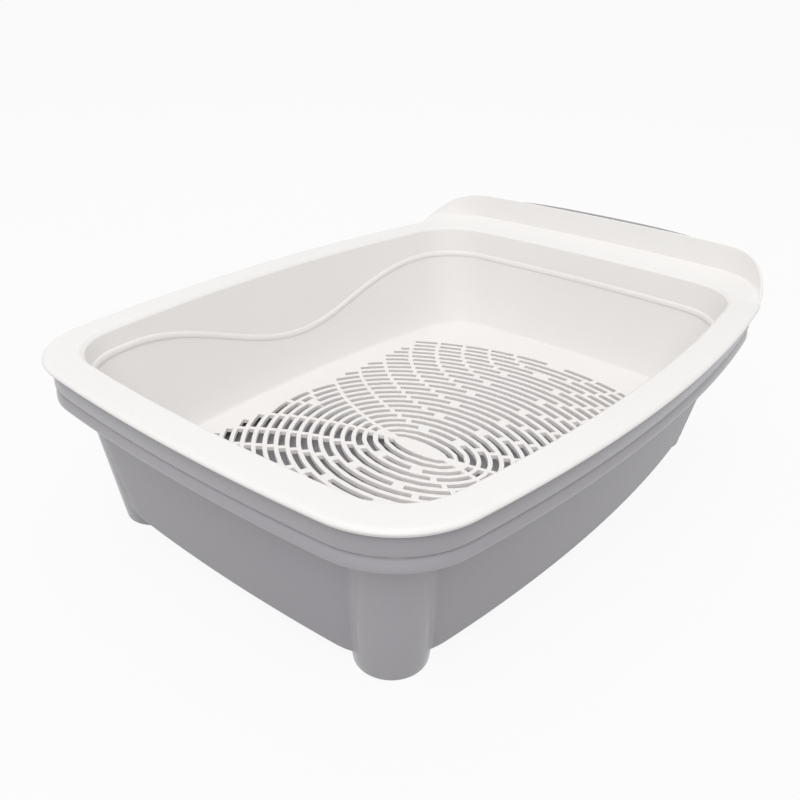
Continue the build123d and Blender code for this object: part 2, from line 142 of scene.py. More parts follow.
def leg_quarter(size, leg, radius, groove):
    """Quarter outline with a round leg let into it. The points run evenly along the wall to the leg, over
    the leg and on to the end's middle; over the leg each is pushed along its normal to the leg's circle,
    and the two joints are sunk by the groove. Returns points and wall normals."""
    points, normals, run = bowed_quarter(*size)
    reach = np.hypot(*(points - leg).T) - radius
    nearest = np.argmin(reach)
    first = np.interp(0, reach[nearest::-1], run[nearest::-1])
    last = np.interp(0, reach[nearest:], run[nearest:])
    first = min(first, run[nearest] - leg_least_run)
    last = max(last, run[nearest] + leg_least_run)
    at = np.concatenate(
        [
            np.linspace(0, first - leg_joint, side_steps),
            [first],
            np.linspace(first + leg_joint, last - leg_joint, leg_steps),
            [last],
            np.linspace(last + leg_joint, run[-1], end_steps),
        ]
    )
    xy = np.stack([np.interp(at, run, points[:, axis]) for axis in (0, 1)], axis=1)
    normal = np.stack([np.interp(at, run, normals[:, axis]) for axis in (0, 1)], axis=1)
    normal = normal / np.linalg.norm(normal, axis=1, keepdims=True)
    to_leg = leg - xy
    ahead = (to_leg * normal).sum(1)
    inside = radius**2 - (to_leg**2).sum(1) + ahead**2
    push = np.where(inside > 0, np.maximum(ahead + np.sqrt(np.maximum(inside, 0)), 0), 0)
    xy = xy + push[:, None] * normal
    xy[leg_joints] = xy[leg_joints] - groove * normal[leg_joints]
    return xy, normal


def ring(back, front):
    """Closed loop from a quarter at the back and one at the front, mirrored left to right."""
    flip = np.array([-1, 1])
    return np.concatenate([back[:-1], (back * flip)[:0:-1], -front[:-1], (front * -flip)[:0:-1]])


def leg_centre(leg_y, level):
    """Middle of a leg in its quarter at a level above its foot."""
    return np.array([leg_x + leg_lean[0] * level, leg_y + leg_lean[1] * level])


def at_height(xy, z):
    """A loop of plan points lifted to a height."""
    return np.column_stack([xy, np.broadcast_to(z, len(xy))])


def ring_quads(rows, count):
    """Faces between neighbouring rows of a grid that closes on itself round each row."""
    here = np.arange(rows - 1)[:, None] * count + np.arange(count)
    beside = np.arange(rows - 1)[:, None] * count + (np.arange(count) + 1) % count
    return np.stack([here, beside, beside + count, here + count], axis=2).reshape(-1, 4)


def plate_faces(outer, holes):
    """Triangles of a flat plate with holes; indices run through the outer loop, then the holes."""
    loops = [[(x, y, 0.0) for x, y in loop] for loop in [outer, *holes]]
    return np.array(tessellate_polygon(loops))


def ease(value, start, end):
    """Smooth step: 0 at the start, 1 at the end, with level ends (3 t^2 - 2 t^3)."""
    t = np.clip((value - start) / (end - start), 0, 1)
    return t * t * (3 - 2 * t)


def moulding(name, surfaces, material, sharp=40):
    """One closed mesh from (vertices, faces) pairs in millimetres: seams closed, slivers taken out, faces
    turned out, and edges above the sharp angle in degrees kept crisp."""
    seam, sliver = 0.004, 0.002
    mesh = bpy.data.meshes.new(name)
    start = np.cumsum([0] + [len(v) for v, _ in surfaces])
    vertices = np.concatenate([v for v, _ in surfaces]) * mm + (0, rim_centre_y * mm, 0)
    faces = [face for (_, f), s in zip(surfaces, start) for face in (np.asarray(f) + s).tolist()]
    mesh.from_pydata(vertices.tolist(), [], faces)
    work = bmesh.new()
    work.from_mesh(mesh)
    bmesh.ops.remove_doubles(work, verts=work.verts, dist=seam * mm)
    bmesh.ops.dissolve_degenerate(work, edges=work.edges, dist=sliver * mm)
    bmesh.ops.recalc_face_normals(work, faces=work.faces)
    work.to_mesh(mesh)
    work.free()
    mesh.shade_smooth()
    mesh.set_sharp_from_angle(angle=np.radians(sharp))
    mesh.materials.append(material)
    piece = bpy.data.objects.new(name, mesh)
    bpy.context.scene.collection.objects.link(piece)
    return piece


def moulded_plastic(name, colour, pale, roughness):
    """Satin polypropylene: a faint cloudy change of shade, a fine spark-eroded grain and soft gloss."""
    material = bpy.data.materials.new(name)
    material.use_nodes = True
    nodes, links = material.node_tree.nodes, material.node_tree.links
    shader = nodes["Principled BSDF"]
    shader.inputs["IOR"].default_value = 1.49
    place = nodes.new("ShaderNodeTexCoord")
    cloud = nodes.new("ShaderNodeTexNoise")
    cloud.inputs["Scale"].default_value = 9.0
    cloud.inputs["Detail"].default_value = 3.0
    shade = nodes.new("ShaderNodeMix")
    shade.data_type = "RGBA"
    shade.inputs["A"].default_value = (*colour, 1)
    shade.inputs["B"].default_value = (*pale, 1)
    grain = nodes.new("ShaderNodeTexNoise")
    grain.inputs["Scale"].default_value = 1400.0
    grain.inputs["Detail"].default_value = 2.0
    gloss = nodes.new("ShaderNodeMapRange")
    gloss.inputs["To Min"].default_value = roughness - 0.05
    gloss.inputs["To Max"].default_value = roughness + 0.05
    bump = nodes.new("ShaderNodeBump")
    bump.inputs["Strength"].default_value = 0.06
    bump.inputs["Distance"].default_value = 0.02 * mm
    for texture in (cloud, grain):
        links.new(place.outputs["Object"], texture.inputs["Vector"])
    links.new(cloud.outputs["Fac"], shade.inputs["Factor"])
    links.new(shade.outputs["Result"], shader.inputs["Base Color"])
    links.new(grain.outputs["Fac"], gloss.inputs["Value"])
    links.new(gloss.outputs["Result"], shader.inputs["Roughness"])
    links.new(grain.outputs["Fac"], bump.inputs["Height"])
    links.new(bump.outputs["Normal"], shader.inputs["Normal"])
    return material


def polished_and_painted_highlight_parts(material, paler, roughness):
    """Adds the polished legs and rim of a pan: within the growing radius of a leg's leaning axis, and
    above the skirt's lower edge, the gloss is higher and the colour is paler, a painted highlight that
    lightens them against the walls. The distance to the axis is the length of (|x| - leg x, y - leg y),
    for the nearer of the front and the back leg."""
    nodes, links = material.node_tree.nodes, material.node_tree.links
    shader = nodes["Principled BSDF"]

    def result_of(operation, *values):
        """Outcome of one sum on fixed numbers and earlier outcomes."""
        step = nodes.new("ShaderNodeMath")
        step.operation = operation
        for socket, value in zip(step.inputs, values):
            if isinstance(value, float):
                socket.default_value = value
            else:
                links.new(value, socket)
        return step.outputs["Value"]

    place = nodes.new("ShaderNodeTexCoord")
    split = nodes.new("ShaderNodeSeparateXYZ")
    links.new(place.outputs["Object"], split.inputs["Vector"])
    x, y, z = (split.outputs[name] for name in "XYZ")
    out_x = result_of("ADD", leg_x * mm, result_of("MULTIPLY", z, leg_lean[0]))
    away_x = result_of("SUBTRACT", result_of("ABSOLUTE", x), out_x)
    lean_y = result_of("MULTIPLY", z, leg_lean[1])
    back_axis = result_of("ADD", (rim_centre_y + leg_back_y) * mm, lean_y)
    past_back = result_of("SUBTRACT", y, back_axis)
    past_front = result_of("SUBTRACT", (rim_centre_y - leg_front_y) * mm, result_of("ADD", y, lean_y))
    away_y = result_of("MINIMUM", result_of("ABSOLUTE", past_back), result_of("ABSOLUTE", past_front))
    square_x = result_of("MULTIPLY", away_x, away_x)
    square_y = result_of("MULTIPLY", away_y, away_y)
    away = result_of("SQRT", result_of("ADD", square_x, square_y))
    reach = result_of("ADD", leg_radius * mm, result_of("MULTIPLY", z, leg_growth))
    inside = nodes.new("ShaderNodeMapRange")
    inside.interpolation_type = "SMOOTHSTEP"
    inside.inputs["From Min"].default_value = polish_and_highlight_fade[0] * mm
    inside.inputs["From Max"].default_value = polish_and_highlight_fade[1] * mm
    links.new(result_of("SUBTRACT", away, reach), inside.inputs["Value"])
    rim_edge = pan_rim_top - pan_skirt_depth - polish_and_highlight_below_skirt
    at_rim = result_of("GREATER_THAN", z, rim_edge * mm)
    share = result_of("MAXIMUM", inside.outputs["Result"], at_rim)
    for name, kind, value in (("Base Color", "RGBA", (*paler, 1)), ("Roughness", "FLOAT", roughness)):
        blend = nodes.new("ShaderNodeMix")
        blend.data_type = kind
        first, second = [s for s in blend.inputs if s.name in "AB" and s.enabled]
        links.new(shader.inputs[name].links[0].from_socket, first)
        second.default_value = value
        links.new(share, blend.inputs["Factor"])
        result = [s for s in blend.outputs if s.enabled][0]
        links.new(result, shader.inputs[name])


def pan_wall_quarters(z, inset, grow, up, spare):
    """Back and front quarter of the pan's wall at a height: the foot's size flares evenly with height,
    less the inset, plus any growth of the roll, with the leg let in (raised by up, wider by spare).
    The groove beside the leg eases out towards the floor."""
    wall_foot = pan_floor_under + pan_edge_round
    share = max(z - wall_foot, 0) / (pan_rim_top - wall_foot)
    rolled = np.array([grow, grow, pan_roll_corner_share * grow])
    size = np.array(pan_foot) + share * np.array(pan_flare) - inset + rolled
    level = z - up
    radius = leg_radius + leg_growth * level + spare
    groove = leg_groove * ease(z, wall_foot, wall_foot + leg_groove_fade)
    legs = [(leg_centre(leg_y, level), radius, groove) for leg_y in (leg_back_y, leg_front_y)]
    return [leg_quarter(size, *leg)[0] for leg in legs]


def pan_wall_rows(heights, insets, grows, up, spare):
    """Rows of the pan's wall, one for each height with its inset and growth."""
    trios = zip(*np.broadcast_arrays(heights, insets, grows))
    return [at_height(ring(*pan_wall_quarters(z, inset, grow, up, spare)), z) for z, inset, grow in trios]


def pan_rim_rows(skirt_depth):
    """Rows over the rim's edge. At the sides: flat top, oval shoulder, skirt down and back up inside.
    At the back: shelf, fillet, leaning lip, round top and down behind. Each row is blended from
    the side form to the back form by an ease along the length, the skirt's rows later than the top's,
    so that no gap opens at the corner; the lip's height eases in as well."""
    legs = [leg_centre(leg_y, pan_rim_top) for leg_y in (leg_back_y, leg_front_y)]
    quarters = [leg_quarter(pan_rim, leg, 0, 0) for leg in legs]
    xy = ring(*(points for points, _ in quarters))
    normal = ring(*(normals for _, normals in quarters))
    y = xy[:, 1]
    top_to_back = ease(y, pan_lip_start + pan_top_blend[0], pan_lip_start + pan_top_blend[1])
    skirt_to_back = ease(y, pan_lip_start + pan_skirt_blend[0], pan_lip_start + pan_skirt_blend[1])
    lip = pan_lip_height * ease(y, pan_lip_start + pan_lip_rise[0], lip_full + pan_lip_rise[1])
    top_radius = pan_wall / 2
    bottom = pan_rim_top - skirt_depth
    under = pan_rim_top - pan_flange
    edge_in, edge_up = pan_skirt_edge
    side = [(-pan_flat_start, pan_rim_top)]
    side += [
        (pan_shoulder[0] * (np.sin(turn) - 1), pan_rim_top + pan_shoulder[1] * (np.cos(turn) - 1))
        for turn in quarter_turn
    ]
    side += [(0.0, bottom + edge_up), (-edge_in, bottom), (-pan_wall + edge_in, bottom)]
    side += [(-pan_wall, bottom + edge_up), (-pan_wall - pan_skirt_root, under)]
    crest = pan_rim_top + lip - top_radius
    lean = lip_lean * lip
    back = [(pan_lip_gap + out, pan_rim_top + share * lip) for out, share in pan_lip_fillet]
    back += [(pan_lip_gap + lean, crest)]
    for turn in np.radians([150, 110, 70, 30, 0]):
        back += [(pan_lip_gap + lean + top_radius * (1 + np.cos(turn)), crest + top_radius * np.sin(turn))]
    back += [(pan_lip_gap + pan_wall, under + lip_lower_edge[1])]
    back += [(pan_lip_gap + pan_wall - lip_lower_edge[0], under), (pan_lip_gap - pan_lip_inside, under)]
    rows = []
    top_rows = 1 + len(quarter_turn)
    blends = [top_to_back] * top_rows + [skirt_to_back] * (len(side) - top_rows)
    for (side_out, side_z), (back_out, back_z), to_back in zip(side, back, blends):
        out = (1 - to_back) * side_out + to_back * back_out
        rows.append(at_height(xy + out[:, None] * normal, (1 - to_back) * side_z + to_back * back_z))
    return rows


def leg_surfaces(z, inset, up, spare, shape):
    """A floor plate and the four leg shells that open from it. The plate's loop runs along the wall and
    round the inner side of each leg; a shell starts on the leg's full circle and follows rows of
    (height, narrowing) down to a flat end."""
    surfaces = []
    plate = []
    joint_a, joint_b = leg_joints
    quarters = pan_wall_quarters(z, inset, 0, up, spare)
    back_signs, front_signs = ((1, 1), (-1, 1)), ((-1, -1), (1, -1))
    ends = ((leg_back_y, back_signs), (leg_front_y, front_signs))
    for quarter, (leg_y, signs) in zip(quarters, ends):
        centre = leg_centre(leg_y, z - up)
        radius = leg_radius + leg_growth * (z - up) + spare
        outer = quarter[joint_a : joint_b + 1]
        turn = np.arctan2(*(outer - centre)[[-1, 0]].T[::-1])
        spread = np.linspace(turn[0], turn[1] + 2 * np.pi, inner_leg_steps + 2)[1:-1]
        inner = centre + radius * np.stack([np.cos(spread), np.sin(spread)], axis=1)
        plate.append(np.concatenate([quarter[: joint_a + 1], inner[::-1], quarter[joint_b:]]))
        loop = np.concatenate([outer, inner])
        around = np.arctan2(*(loop - centre).T[::-1])
        rows = [at_height(loop, z)]
        for low, narrow in shape:
            wide = leg_radius + leg_growth * low - narrow
            circle = leg_centre(leg_y, low) + wide * np.stack([np.cos(around), np.sin(around)], axis=1)
            rows.append(at_height(circle, low))
        shell = np.concatenate(rows)
        faces = ring_quads(len(rows), len(loop))
        for sign in signs:
            mirrored = shell * (*sign, 1)
            surfaces.append((mirrored, faces))
            surfaces.append((mirrored[-len(loop) :], [list(range(len(loop)))]))
    edge = ring(*plate)
    surfaces.append((at_height(edge, z), plate_faces(edge, [])))
    return surfaces


def pan_surfaces(skirt_depth):
    """Closed skin of a pan: inner floor edge, inner wall, rolled mouth, rim, outer wall and bottom edge
    as one grid of rows, and the floor plates with the cups and feet of the legs."""
    turn = quarter_turn
    floor_top = pan_floor_under + pan_wall
    roll_low = pan_rim_top - pan_roll_height
    under = pan_rim_top - pan_flange
    wall_low = floor_top + pan_edge_round
    fit = (stack_pitch, seat_clearance)
    edge_heights = floor_top + pan_edge_round * (1 - np.cos(turn))
    rows = pan_wall_rows(edge_heights, pan_wall + pan_edge_round * (1 - np.sin(turn)), 0, *fit)
    rows += pan_wall_rows(np.linspace(wall_low, roll_low, inner_wall_rows)[1:-1], pan_wall, 0, *fit)
    rows += pan_wall_rows(
        roll_low + pan_roll_height * np.sin(turn), pan_wall, pan_roll_width * (1 - np.cos(turn)), *fit
    )
    rows += pan_rim_rows(skirt_depth)
    turn = turn[::-1]
    rows += pan_wall_rows(
        under - pan_roll_height * (1 - np.sin(turn)), 0, pan_roll_width * (1 - np.cos(turn)), 0, 0
    )
    outer_heights = np.linspace(under - pan_roll_height, pan_floor_under + pan_edge_round, outer_wall_rows)
    rows += pan_wall_rows(outer_heights[1:-1], 0, 0, 0, 0)
    turn = turn[::-1]
    rows += pan_wall_rows(
        pan_floor_under + pan_edge_round * (1 - np.sin(turn)), pan_edge_round * (1 - np.cos(turn)), 0, 0, 0
    )
    skin = np.array(rows)
    surfaces = [(skin.reshape(-1, 3), ring_quads(len(skin), skin.shape[1]))]
    foot_turn = np.radians([0, 30, 60, 90])
    foot = [(leg_foot_start, 0.0)]
    foot += [(leg_foot_round * (1 - np.sin(a)), leg_foot_round * (1 - np.cos(a))) for a in foot_turn]
    cup = [(floor_top, leg_cup_wall), (leg_cup_start, leg_cup_wall)]
    cup += [(leg_floor + z, leg_cup_wall + narrow) for z, narrow in foot[1:]]
    surfaces += leg_surfaces(floor_top, pan_wall + pan_edge_round, *fit, cup)
    surfaces += leg_surfaces(pan_floor_under, pan_edge_round, 0, 0, foot)
    return surfaces


pan_grey = moulded_plastic("grey pan plastic", pan_colour, pan_pale_colour, satin_roughness)
# Polished legs and rim, with a painted highlight in their colour.
polished_and_painted_highlight_parts(pan_grey, pan_painted_highlight_colour, polished_roughness)
base_pan = moulding("base_pan_moulding", pan_surfaces(pan_skirt_depth), pan_grey)
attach(base_pan, "base_pan")
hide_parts("base_pan")


# Middle pan: a second pan of the same form, sunk into the base pan until its legs seat.
# Only its rim skirt and the top of its lip show while the set is nested; the skirt is deeper and
# closes the gap down to the base pan's shoulder.
middle_skirt_depth = 16.5
raised = [(vertices + (0, 0, stack_pitch), faces) for vertices, faces in pan_surfaces(middle_skirt_depth)]
middle_pan = moulding("middle_pan_moulding", raised, pan_grey)
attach(middle_pan, "middle_pan")
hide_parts("middle_pan")


# Sifting tray: the white tray that hangs by its rim in the middle pan, one polypropylene moulding.
# A broad flat rim rolls into drafted walls, the floor is a sieve of curved slots, and at the back
# the rim ramps up to a lip that fades out round the two corners.
_, tray_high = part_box("sifting_tray")
tray_rim = (190.0, 245.0, 63.0)
tray_rim_top = 131.8
tray_flange = 2.5
tray_edge_round = (4.0, 2.1)
tray_skirt_depth = 5.6
tray_skirt_round = ((-0.7, 2.1), (-1.9, 0.8), (-3.4, 0.0), (-4.0, 0.5))
tray_skirt_root = 4.2
tray_wall = 2.4
tray_floor_top = 38.8
tray_floor_plate = 3.6
tray_floor = (141.0, 204.0, 42.0)
tray_wall_top = (166.3, 219.3, 46.1)
tray_mouth = (169.6, 222.6, 46.6)
tray_wall_top_z = 129.4
tray_floor_round = 2.5
tray_lip_height = tray_high.z / mm - tray_rim_top
tray_lip_ramp = 7.0
tray_ramp_shares = ((0.66, 0.35), (0.36, 0.72))
tray_lip_fillet = ((-2.0, 0.0), (-0.4, 0.02))
tray_lip_face = (0.2, 0.1)
tray_lip_start = 194.0
tray_back_blend = (-4.0, 12.0)
tray_lip_rise = (-2.0, 5.0)
tray_ramp_rise = (-14.0, -2.0)
tray_roll_thick = 1.2
tray_outer_wall = (9.0, 3.0)
tray_foot_edge = ((0.8, -0.4), (0.0, -2.0), (0.0, -9.0))
tray_wall_rows_inside, tray_wall_rows_outside = 9, 6
tray_colour = (0.862, 0.842, 0.826)
tray_pale_colour = (0.888, 0.87, 0.856)
oval_centre = (16.0, -32.0)
oval_first = 10.7
oval_extra = 17.4
slot_pitch = 8.5
slot_width = 4.9
slot_soft_edge = 0.35
sieve_half_width = 116.0
sieve_half_length = 168.0
sieve_corner = 18.0
rib_circle_offset = 224.0
rib_spacing = 24.7
rib_width = 3.0
shortest_slot = 5.0
oval_steps = 1440
slot_points = 7


def bowed_loop(size):
    """Closed bowed outline with an even run of points on each arc, and its outward normals."""
    points, normals, run = bowed_quarter(*size)
    on_end = side_points + corner_points
    at = np.concatenate([run[:side_points:10], run[side_points:on_end:8], run[on_end::10], run[-1:]])
    quarter = np.stack([np.interp(at, run, column) for column in (*points.T, *normals.T)], axis=1)
    return ring(quarter[:, :2], quarter[:, :2]), ring(quarter[:, 2:], quarter[:, 2:])


def tray_wall_rows(thick, heights, extra=0.0):
    """Rows of the tray wall: the floor outline runs straight to the wall's top outline with height,
    moved out by the thickness (for the wall's outer face) and by any extra."""
    low_xy, normal = bowed_loop(np.add(tray_floor, thick))
    high_xy, _ = bowed_loop(np.add(tray_wall_top, thick))
    heights = np.asarray(heights, float)[:, None]
    rise = (heights - tray_floor_top) / (tray_wall_top_z - tray_floor_top)
    xy = low_xy + rise[..., None] * (high_xy - low_xy) + np.reshape(extra, (-1, 1, 1)) * normal
    return np.concatenate([xy, np.broadcast_to(heights, xy.shape[:2])[..., None]], axis=2)


def roll_rows(thick, shares, heights):
    """Rolled mouth: rows that go from the wall's top outline to the mouth's by shares, at heights."""
    low_xy, _ = bowed_loop(np.add(tray_wall_top, thick))
    high_xy, _ = bowed_loop(np.add(tray_mouth, thick))
    xy = low_xy + np.asarray(shares)[:, None, None] * (high_xy - low_xy)
    z = np.broadcast_to(np.asarray(heights)[:, None], xy.shape[:2])
    return np.concatenate([xy, z[..., None]], axis=2)


def tray_rim_rows():
    """Rows from the mouth over the rim to the flange's underside. At the sides: flat top, oval edge,
    short skirt with a full round lower edge. At the back: ramp, fillet, leaning lip, round top and
    down behind. An ease along the length blends the two forms, and the ramp and the lip's height
    ease in as well."""
    xy, normal = bowed_loop(tray_rim)
    mouth_xy, _ = bowed_loop(tray_mouth)
    width = ((xy - mouth_xy) * normal).sum(1)
    y = xy[:, 1]
    to_back = ease(y, tray_lip_start + tray_back_blend[0], tray_lip_start + tray_back_blend[1])
    lip = tray_lip_height * ease(y, tray_lip_start + tray_lip_rise[0], lip_full + tray_lip_rise[1])
    ramp = tray_lip_ramp * ease(y, tray_lip_start + tray_ramp_rise[0], lip_full + tray_ramp_rise[1])
    top_radius = tray_wall / 2
    round_in, round_down = tray_edge_round
    bottom = tray_rim_top - tray_skirt_depth
    under = tray_rim_top - tray_flange
    side = [(-0.66 * width, tray_rim_top), (-0.33 * width, tray_rim_top)]
    side += [
        (round_in * (np.sin(turn) - 1), tray_rim_top + round_down * (np.cos(turn) - 1))
        for turn in quarter_turn
    ]
    side += [(out, bottom + rise) for out, rise in tray_skirt_round]
    side += [(-tray_skirt_root, under)]
    foot = -tray_wall
    crest = tray_rim_top + lip - top_radius
    lean = lip_lean * lip
    face_out, face_share = tray_lip_face
    back = [(-across * width, tray_rim_top + share * ramp) for across, share in tray_ramp_shares]
    back += [(foot + out, tray_rim_top + ramp + share * lip) for out, share in tray_lip_fillet]
    back += [(foot + face_out, tray_rim_top + ramp + face_share * (lip - ramp)), (foot + lean, crest)]
    for turn in np.radians([140, 90, 40, 0]):
        back += [(foot + lean + top_radius * (1 + np.cos(turn)), crest + top_radius * np.sin(turn))]
    back += [(0.0, under + lip_lower_edge[1]), (-lip_lower_edge[0], under), (-tray_wall, under)]
    offsets = [(1 - to_back) * s[0] + to_back * b[0] for s, b in zip(side, back)]
    heights = [(1 - to_back) * s[1] + to_back * b[1] for s, b in zip(side, back)]
    flat = xy + np.array(offsets)[..., None] * normal
    return np.concatenate([flat, np.array(heights)[..., None]], axis=2)


def oval(half_height, turn):
    """Point of an oval of the sieve: its centre plus (half width cos, half height sin) of the turn."""
    return np.stack(
        [
            oval_centre[0] + (half_height + oval_extra) * np.cos(turn),
            oval_centre[1] + half_height * np.sin(turn),
        ],
        axis=-1,
    )


def slot_loops(grow):
    """Closed outlines of all slots, widened by grow. A slot follows its oval between ribs: ribs lie on
    circles about two far points that touch at the ovals' centre, and outside the sieve field."""
    step_turn = 2 * np.pi / oval_steps
    share = np.linspace(0, 1, slot_points)
    loops = []
    for half_height in np.arange(oval_first, sieve_half_length - oval_centre[1], slot_pitch):
        path = oval(half_height, step_turn * np.arange(oval_steps))
        rise = np.abs(path[:, 1] - oval_centre[1])
        reach = np.hypot(path[:, 0] - oval_centre[0], rib_circle_offset - rise) - rib_circle_offset
        off_rib = np.abs(reach / rib_spacing - np.round(reach / rib_spacing)) * rib_spacing
        beyond_x = np.maximum(np.abs(path[:, 0]) - sieve_half_width + sieve_corner, 0)
        beyond_y = np.maximum(np.abs(path[:, 1]) - sieve_half_length + sieve_corner, 0)
        clear = (off_rib >= rib_width / 2) & (np.hypot(beyond_x, beyond_y) < sieve_corner)
        shift = np.argmin(clear)
        change = np.diff(np.roll(clear, -shift).astype(int), append=0)
        begins = np.flatnonzero(change == 1) + 1 + shift
        ends = np.flatnonzero(change == -1) + shift
        for begin, end in zip(step_turn * begins, step_turn * ends):
            first, last = oval(half_height, begin), oval(half_height, end)
            if np.linalg.norm(first - last) <= shortest_slot:
                continue
            margin = grow * (end - begin) / np.linalg.norm(first - last)
            turn = begin - margin + share * (end - begin + 2 * margin)
            outer = oval(half_height + slot_width / 2 + grow, turn)
            inner = oval(half_height - slot_width / 2 - grow, turn[::-1])
            loops.append(np.concatenate([outer, inner]))
    return loops


def sieve_surfaces(top_edge, under_edge):
    """The slotted floor: a top and an under plate with the slots as holes, and each slot's wall as
    three short rows, the first one eased outwards so that its edge is soft."""
    wide, nominal = slot_loops(slot_soft_edge), slot_loops(0.0)
    under = tray_floor_top - tray_floor_plate
    surfaces = []
    for edge, holes, z in ((top_edge, wide, tray_floor_top), (under_edge, nominal, under)):
        surfaces.append((at_height(np.concatenate([edge, *holes]), z), plate_faces(edge, holes)))
    levels = (tray_floor_top, tray_floor_top - slot_soft_edge, under)
    for top, body in zip(wide, nominal):
        rows = [at_height(xy, z) for xy, z in zip((top, body, body), levels)]
        surfaces.append((np.concatenate(rows), ring_quads(3, len(top))))
    return surfaces


def tray_surfaces():
    """Closed skin of the tray: floor edge, wall, rolled mouth, rim and outer wall as one grid of rows,
    joined to the plates and slot walls of the sieve."""
    under = tray_floor_top - tray_floor_plate
    roll = tray_rim_top - tray_wall_top_z
    mouth_share = np.array([0, 0.04, 0.16, 0.40, 0.64, 0.78, 0.86, 0.94, 1.0])
    mouth_z = tray_wall_top_z + roll * np.array([-0.15, 0.08, 0.25, 0.52, 0.78, 0.91, 0.965, 0.992, 1.0])
    under_share = np.array([1, 0.7, 0.35, 0.1, 0])
    under_z = tray_rim_top - tray_flange - roll * np.array([0.02, 0.08, 0.25, 0.5, 0.8])
    edge_z = tray_floor_top + tray_floor_round * (1 - np.cos(quarter_turn))
    edge_in = tray_floor_round * (np.sin(quarter_turn) - 1)
    wall_z = np.linspace(tray_floor_top + tray_floor_round, tray_wall_top_z, tray_wall_rows_inside)
    outer_top, outer_low = tray_wall_top_z - tray_outer_wall[0], under + tray_outer_wall[1]
    outer_z = np.linspace(outer_top, outer_low, tray_wall_rows_outside)
    foot_up, foot_in = np.transpose(tray_foot_edge)
    skin = np.concatenate(
        [
            tray_wall_rows(0, edge_z, extra=edge_in),
            tray_wall_rows(0, wall_z[1:-1]),
            roll_rows(0, mouth_share, mouth_z),
            tray_rim_rows(),
            roll_rows(tray_roll_thick, under_share, under_z),
            tray_wall_rows(tray_wall, outer_z),
            tray_wall_rows(tray_wall, under + foot_up, extra=foot_in),
        ]
    )
    surfaces = [(skin.reshape(-1, 3), ring_quads(len(skin), skin.shape[1]))]
    return surfaces + sieve_surfaces(skin[0, :, :2], skin[-1, :, :2])


tray_white = moulded_plastic("white tray plastic", tray_colour, tray_pale_colour, satin_roughness)
sifting_tray = moulding("sifting_tray_moulding", tray_surfaces(), tray_white)
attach(sifting_tray, "sifting_tray")
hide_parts("sifting_tray")


# Wave bead: a low rounded rib of the same white plastic, moulded on the inside of the tray's walls.
# It runs just under the rim, sags a little on the front wall, dips in one long wave on each side
# and runs level across the back.
bead_width = 5.4
bead_height = 1.3
bead_foot = 0.15
bead_sunk = 0.9
bead_depth = 16.0
bead_end_sag = 9.0
bead_back_drop = 9.0
bead_drop_from, bead_drop_to = 60.0, 190.0
bead_side_sag = 40.0
bead_side_centre = 8.0
bead_side_reach = 168.0
bead_end_reach = 122.0


def bead_rows():
    """Round the wall at a depth under the rim of depth + sag cos^2, with one sag along the sides and one
    along the front; an ease along the length drops it to the back, where it runs level. Across, a low
    half oval on the wall's face and a flat back sunk into the wall."""
    low_xy, normal = bowed_loop(tray_floor)
    high_xy, _ = bowed_loop(tray_wall_top)
    middle = (low_xy + high_xy) / 2
    along_side = np.minimum(np.abs(middle[:, 1] - bead_side_centre) / bead_side_reach, 1)
    along_end = np.minimum(np.abs(middle[:, 0]) / bead_end_reach, 1)
    depth = bead_depth + bead_side_sag * np.cos(np.pi / 2 * along_side) ** 2
    depth = depth + np.where(middle[:, 1] < 0, bead_end_sag, 0) * np.cos(np.pi / 2 * along_end) ** 2
    depth = depth + bead_back_drop * ease(middle[:, 1], bead_drop_from, bead_drop_to)
    turn = np.radians([0, 30, 60, 90, 120, 150, 180])
    across = np.concatenate([bead_width / 2 * np.cos(turn), [-bead_width / 2, bead_width / 2]])
    proud = np.concatenate([bead_height * np.sin(turn) - bead_foot, [-bead_sunk, -bead_sunk]])
    z = tray_rim_top - depth + across[:, None]
    rise = (z - tray_floor_top) / (tray_wall_top_z - tray_floor_top)
    xy = low_xy + rise[..., None] * (high_xy - low_xy) - proud[:, None, None] * normal
    rows = np.concatenate([xy, z[..., None]], axis=2)
    return np.concatenate([rows, rows[:1]])


bead_grid = bead_rows()
bead_skin = (bead_grid.reshape(-1, 3), ring_quads(len(bead_grid), bead_grid.shape[1]))
wave_bead = moulding("wave_bead", [bead_skin], tray_white, sharp=60)
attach(wave_bead, "sifting_tray")


# Studio: a white floor under the tray, an even white room, and two broad soft lamps,
# one overhead and one high in front. The camera sees the room as plain white, and the floor
# as mostly white with the tray's soft shadow.
floor_reach = 40.0
floor_shade = 0.7
floor_white_share = 0.92
room_level = 0.58
floor_mesh = bpy.data.meshes.new("studio_floor")
floor_corners = floor_reach * np.array([(-1, -1, 0), (1, -1, 0), (1, 1, 0), (-1, 1, 0)])
floor_mesh.from_pydata(floor_corners.tolist(), [], [(0, 1, 2, 3)])
studio_floor = bpy.data.objects.new("studio_floor", floor_mesh)
bpy.context.scene.collection.objects.link(studio_floor)


def seen_share(nodes, links, share):
    """Value node chain: the share for rays from the camera, reflections and glass, 0 for other rays."""
    path = nodes.new("ShaderNodeLightPath")
    seen = path.outputs["Is Camera Ray"]
    for ray in ("Is Glossy Ray", "Is Transmission Ray"):
        either = nodes.new("ShaderNodeMath")
        either.operation = "MAXIMUM"
        links.new(seen, either.inputs[0])
        links.new(path.outputs[ray], either.inputs[1])
        seen = either.outputs["Value"]
    scaled = nodes.new("ShaderNodeMath")
    scaled.operation = "MULTIPLY"
    scaled.inputs[1].default_value = share
    links.new(seen, scaled.inputs[0])
    return scaled.outputs["Value"]


